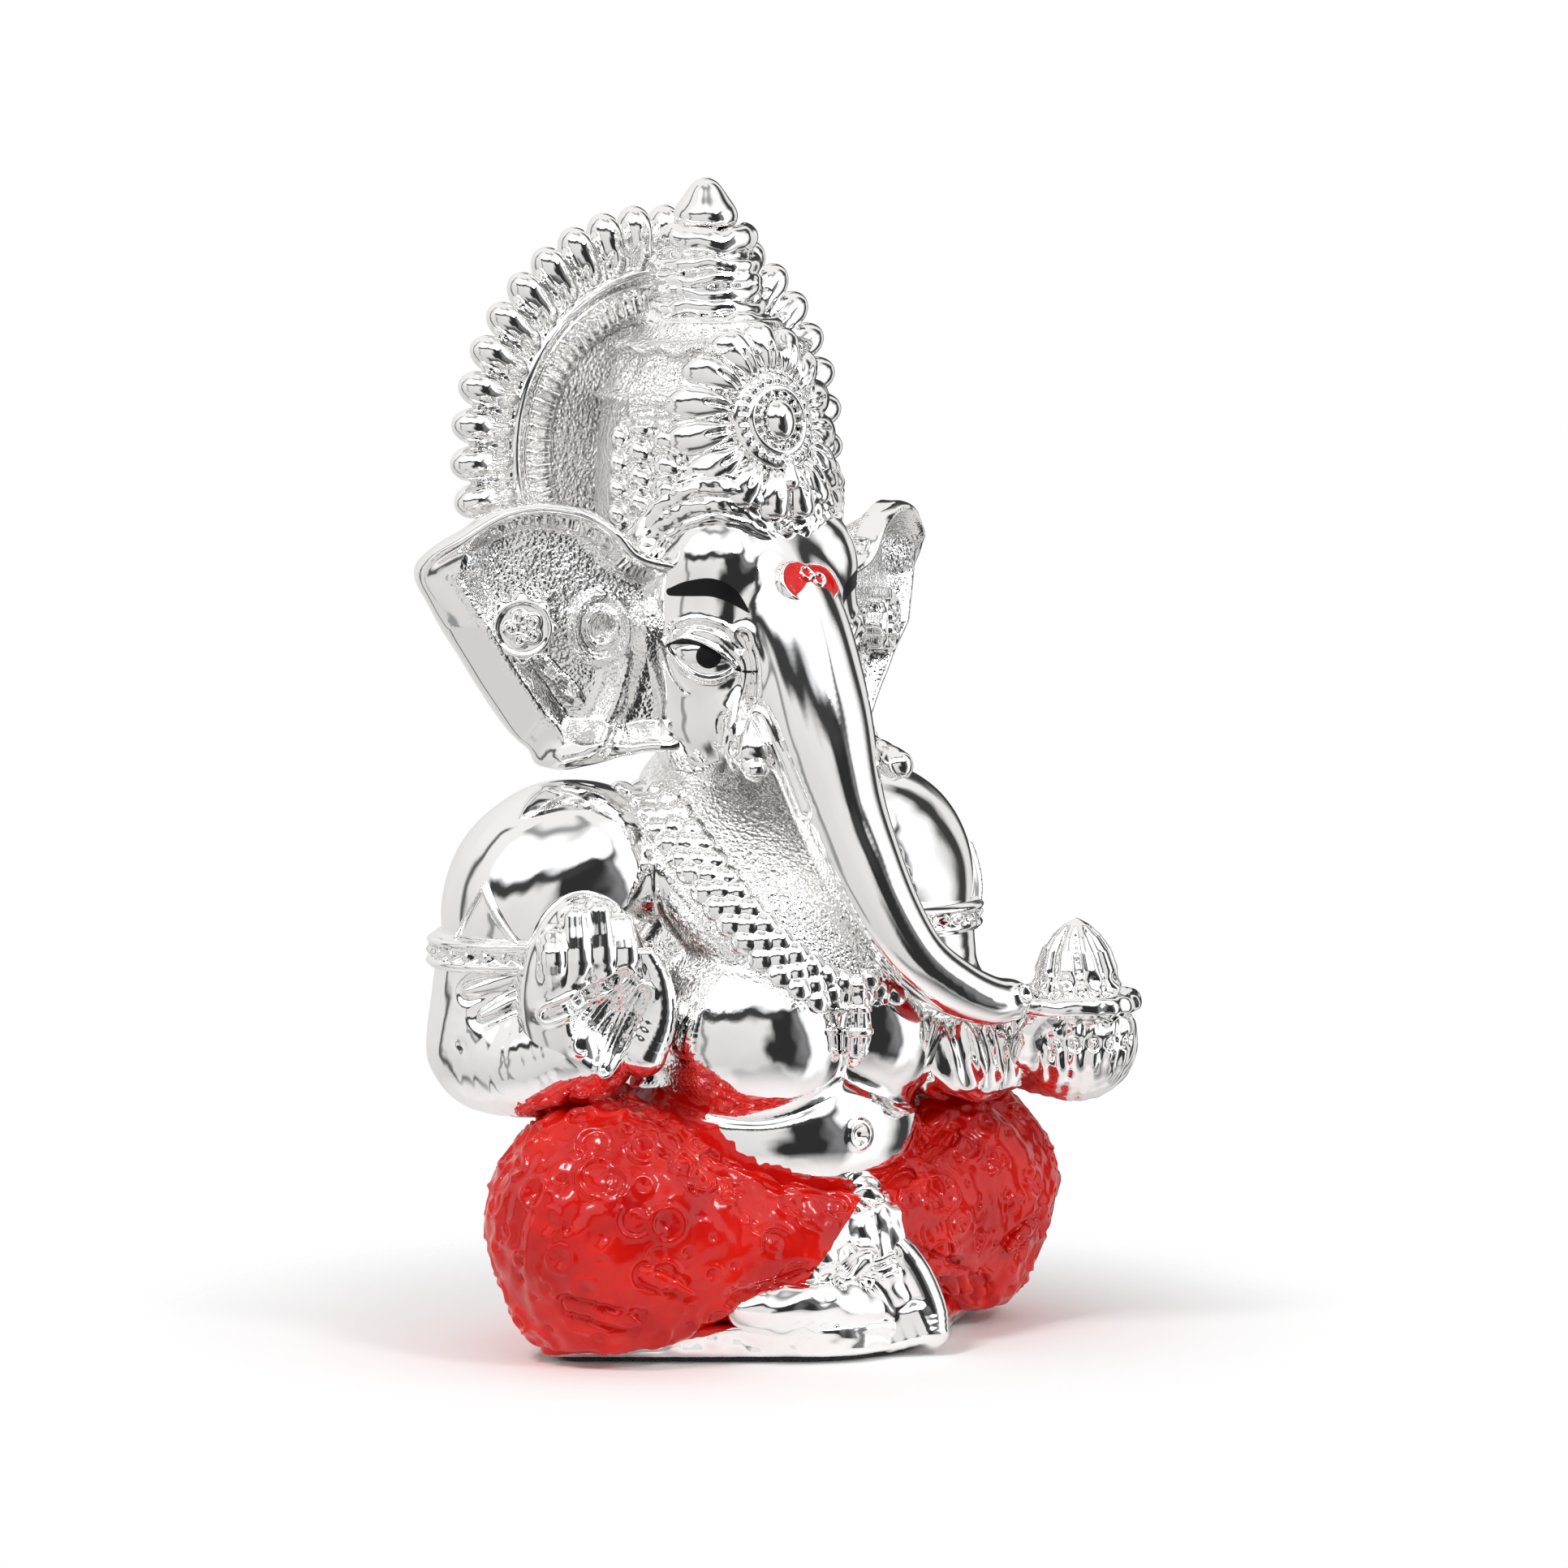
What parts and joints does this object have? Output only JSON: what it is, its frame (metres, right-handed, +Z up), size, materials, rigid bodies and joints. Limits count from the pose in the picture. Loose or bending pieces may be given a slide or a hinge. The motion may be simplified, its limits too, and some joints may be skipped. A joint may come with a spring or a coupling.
{
  "type": "seated elephant-headed deity idol",
  "caption": "Small seated elephant-headed figure with petalled halo, tiered crown, raised hand and a sweet on a dish, plated silver with a red garment.",
  "frame": {"origin": "on the underside of the base pad, below the figure's middle", "axes": "+Z up, the figure faces -Y, and its own left hand is on +X"},
  "size_m": [0.058, 0.0411, 0.1],
  "materials": {
    "silver_plate": "polished",
    "silver_stippled": "satin",
    "red_enamel": "gloss",
    "felt_pad": "matte",
    "cast_filler": "matte"
  },
  "bodies": {
    "root": {"base_felt": "felt_pad", "base_plate": "silver_plate", "bead_necklace": "silver_plate", "brow_band": "silver_plate", "crest_boss": "silver_plate", "crest_disc": "silver_plate", "crest_petals": "silver_plate", "crown_dome": "silver_stippled", "crown_finial": "silver_plate", "crown_tiers": "silver_plate", "filler_core": "cast_filler", "front_pleat": "silver_plate", "halo_petals": "silver_plate", "halo_plate": "silver_stippled", "halo_rim": "silver_plate", "head": "silver_plate", "left_armlet": "silver_plate", "left_ear": "silver_plate", "left_ear_flower": "silver_plate", "left_eye": "silver_plate", "left_foot": "silver_plate", "left_forearm": "silver_plate", "left_hand": "silver_plate", "left_leg_garment": "red_enamel", "left_tusk": "silver_plate", "left_upper_arm": "silver_plate", "modak_sweet": "silver_plate", "necklace_pendant": "silver_plate", "pour_plug": "cast_filler", "right_armlet": "silver_plate", "right_ear": "silver_plate", "right_ear_flower": "silver_plate", "right_eye": "silver_plate", "right_foot": "silver_plate", "right_forearm": "silver_plate", "right_hand": "silver_plate", "right_leg_garment": "red_enamel", "right_tusk": "silver_plate", "right_upper_arm": "silver_plate", "sweet_dish": "silver_plate", "tilak_mark": "red_enamel", "torso": "silver_plate", "trunk": "silver_plate"}
  },
  "joints": []
}
